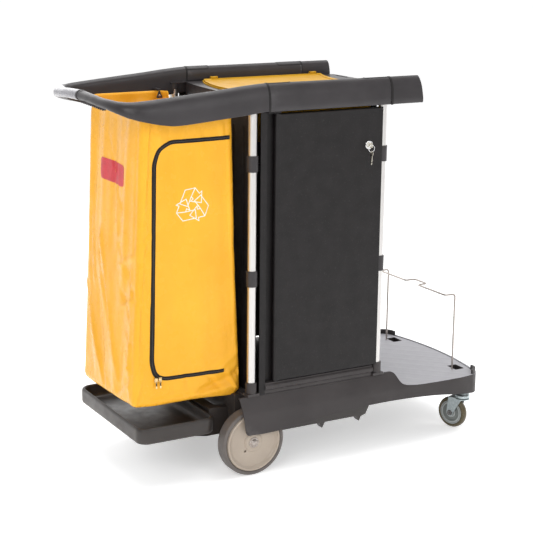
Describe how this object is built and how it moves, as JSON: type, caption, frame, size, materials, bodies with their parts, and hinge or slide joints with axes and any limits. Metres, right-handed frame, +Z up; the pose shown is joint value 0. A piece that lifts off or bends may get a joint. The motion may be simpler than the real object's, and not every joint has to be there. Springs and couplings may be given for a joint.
{
  "type": "housekeeping cart",
  "caption": "Housekeeping cart with a closed cabinet, hung waste bag with a side zip, hinged lid over a lift-out bin, caddy platform, big fixed wheels and swivel casters.",
  "frame": {"origin": "on the floor under the centre of the cart's plan", "axes": "+X towards the caddy platform, +Y away from the door side, +Z up"},
  "size_m": [1.282, 0.5676, 1.1522],
  "materials": {
    "base_plastic": "fine grained charcoal",
    "frame_plastic": "fine grained charcoal, slightly sheeny",
    "tray_plastic": "dark grey, moulded",
    "black_plastic": "satin black with a pebble texture",
    "painted_steel": "black powder coat",
    "upright_aluminium": "clear anodised, brushed lengthways",
    "bag_vinyl": "golden yellow coated vinyl",
    "yellow_plastic": "yellow, moulded",
    "zip_brass": "polished",
    "wheel_beige": "beige, moulded",
    "wheel_tyre": "grey, non-marking",
    "caster_zinc": "bright zinc plated",
    "caster_hub_plastic": "grey, moulded",
    "caster_tread": "olive brown, translucent",
    "lock_chrome": "polished",
    "key_nickel": "nickel plated",
    "wire_steel": "bright plated"
  },
  "bodies": {
    "cart": {"chassis": "base_plastic", "underframe": "tray_plastic", "rear_axle": "painted_steel", "axle_cap_near": "wire_steel", "axle_cap_far": "wire_steel", "pole_feet": "base_plastic", "bag_tray": "tray_plastic", "tray_beam": "tray_plastic", "tray_bracket_near": "tray_plastic", "tray_bracket_far": "tray_plastic", "door_sill": "base_plastic", "hinge_post": "black_plastic", "door_pins": "painted_steel", "lock_strike": "painted_steel", "back_panel": "black_plastic", "panel_bag_end": "black_plastic", "panel_platform_end": "black_plastic", "top_deck": "frame_plastic", "push_bar_collar": "frame_plastic", "bag": "bag_vinyl", "bag_hooks": "wire_steel", "shelf_lower": "frame_plastic", "shelf_upper": "frame_plastic", "rail_near": "frame_plastic", "rail_far": "frame_plastic", "rail_cap_near": "frame_plastic", "rail_cap_far": "frame_plastic", "hoop_near": "frame_plastic", "hoop_far": "frame_plastic", "pole_bag_near": "upright_aluminium", "pole_bag_far": "upright_aluminium", "pole_platform_near": "upright_aluminium", "pole_platform_far": "upright_aluminium", "caster_race_near": "caster_zinc", "caster_race_far": "caster_zinc"},
    "wheel_near": {"wheel_disc_near": "wheel_beige", "wheel_tyre_near": "wheel_tyre"},
    "wheel_far": {"wheel_disc_far": "wheel_beige", "wheel_tyre_far": "wheel_tyre"},
    "caster_swivel_near": {"caster_fork_near": "caster_zinc", "caster_bolt_near": "caster_zinc"},
    "caster_roll_near": {"caster_hub_near": "caster_hub_plastic", "caster_tyre_near": "caster_tread"},
    "caster_swivel_far": {"caster_fork_far": "caster_zinc", "caster_bolt_far": "caster_zinc"},
    "caster_roll_far": {"caster_hub_far": "caster_hub_plastic", "caster_tyre_far": "caster_tread"},
    "door": {"door_panel": "black_plastic", "lock_body": "lock_chrome"},
    "lock": {"lock_plug": "lock_chrome", "lock_key": "key_nickel"},
    "keys": {"key_ring": "lock_chrome", "spare_key": "key_nickel"},
    "bin": {"bin": "yellow_plastic", "lid_pins": "painted_steel"},
    "lid": {"bin_lid": "yellow_plastic"},
    "wire_frame": {"wire_frame": "wire_steel"},
    "zip_slider_a": {"zip_slider_a": "zip_brass"},
    "zip_slider_b": {"zip_slider_b": "zip_brass"}
  },
  "joints": [
    {"name": "wheel_roll_near", "type": "hinge", "parent": "cart", "child": "wheel_near", "pos_m": [-0.218, -0.241, 0.1016], "axis": [0, 1, 0], "continuous": true},
    {"name": "wheel_roll_far", "type": "hinge", "parent": "cart", "child": "wheel_far", "pos_m": [-0.218, 0.241, 0.1016], "axis": [0, 1, 0], "continuous": true},
    {"name": "caster_swivel_near", "type": "hinge", "parent": "cart", "child": "caster_swivel_near", "pos_m": [0.565, -0.234, 0.103], "axis": [0, 0, 1], "continuous": true},
    {"name": "caster_roll_near", "type": "hinge", "parent": "caster_swivel_near", "child": "caster_roll_near", "pos_m": [0.55303, -0.20111, 0.0508], "axis": [0.9397, 0.342, 0], "continuous": true},
    {"name": "caster_swivel_far", "type": "hinge", "parent": "cart", "child": "caster_swivel_far", "pos_m": [0.565, 0.234, 0.103], "axis": [0, 0, 1], "continuous": true},
    {"name": "caster_roll_far", "type": "hinge", "parent": "caster_swivel_far", "child": "caster_roll_far", "pos_m": [0.55303, 0.20111, 0.0508], "axis": [0.9397, -0.342, 0], "continuous": true},
    {"name": "door_swing", "type": "hinge", "parent": "cart", "child": "door", "pos_m": [-0.148, -0.259, 0.674], "axis": [0, 0, -1], "range_deg": [0, 115]},
    {"name": "lock_turn", "type": "hinge", "parent": "door", "child": "lock", "pos_m": [0.155, -0.268, 0.958], "axis": [0, 1, 0], "range_deg": [0, 90]},
    {"name": "keys_sway", "type": "hinge", "parent": "lock", "child": "keys", "pos_m": [0.155, -0.2825, 0.958], "axis": [0, 1, 0], "range_deg": [-34, 34]},
    {"name": "bin_lift", "type": "slide", "parent": "cart", "child": "bin", "axis": [0, 0, 1], "range_m": [0, 0.16]},
    {"name": "lid_swing", "type": "hinge", "parent": "bin", "child": "lid", "pos_m": [0.065, 0.218, 1.118], "axis": [-1, 0, 0], "range_deg": [0, 95]},
    {"name": "wire_frame_lift", "type": "slide", "parent": "cart", "child": "wire_frame", "axis": [0, 0, 1], "range_m": [0, 0.1]},
    {"name": "zip_up", "type": "slide", "parent": "cart", "child": "zip_slider_a", "axis": [0.012, -0.0279, 0.9995], "range_m": [0, 0.6]},
    {"name": "zip_across", "type": "slide", "parent": "cart", "child": "zip_slider_b", "axis": [1, 0, 0], "range_m": [0, 0.2]}
  ]
}
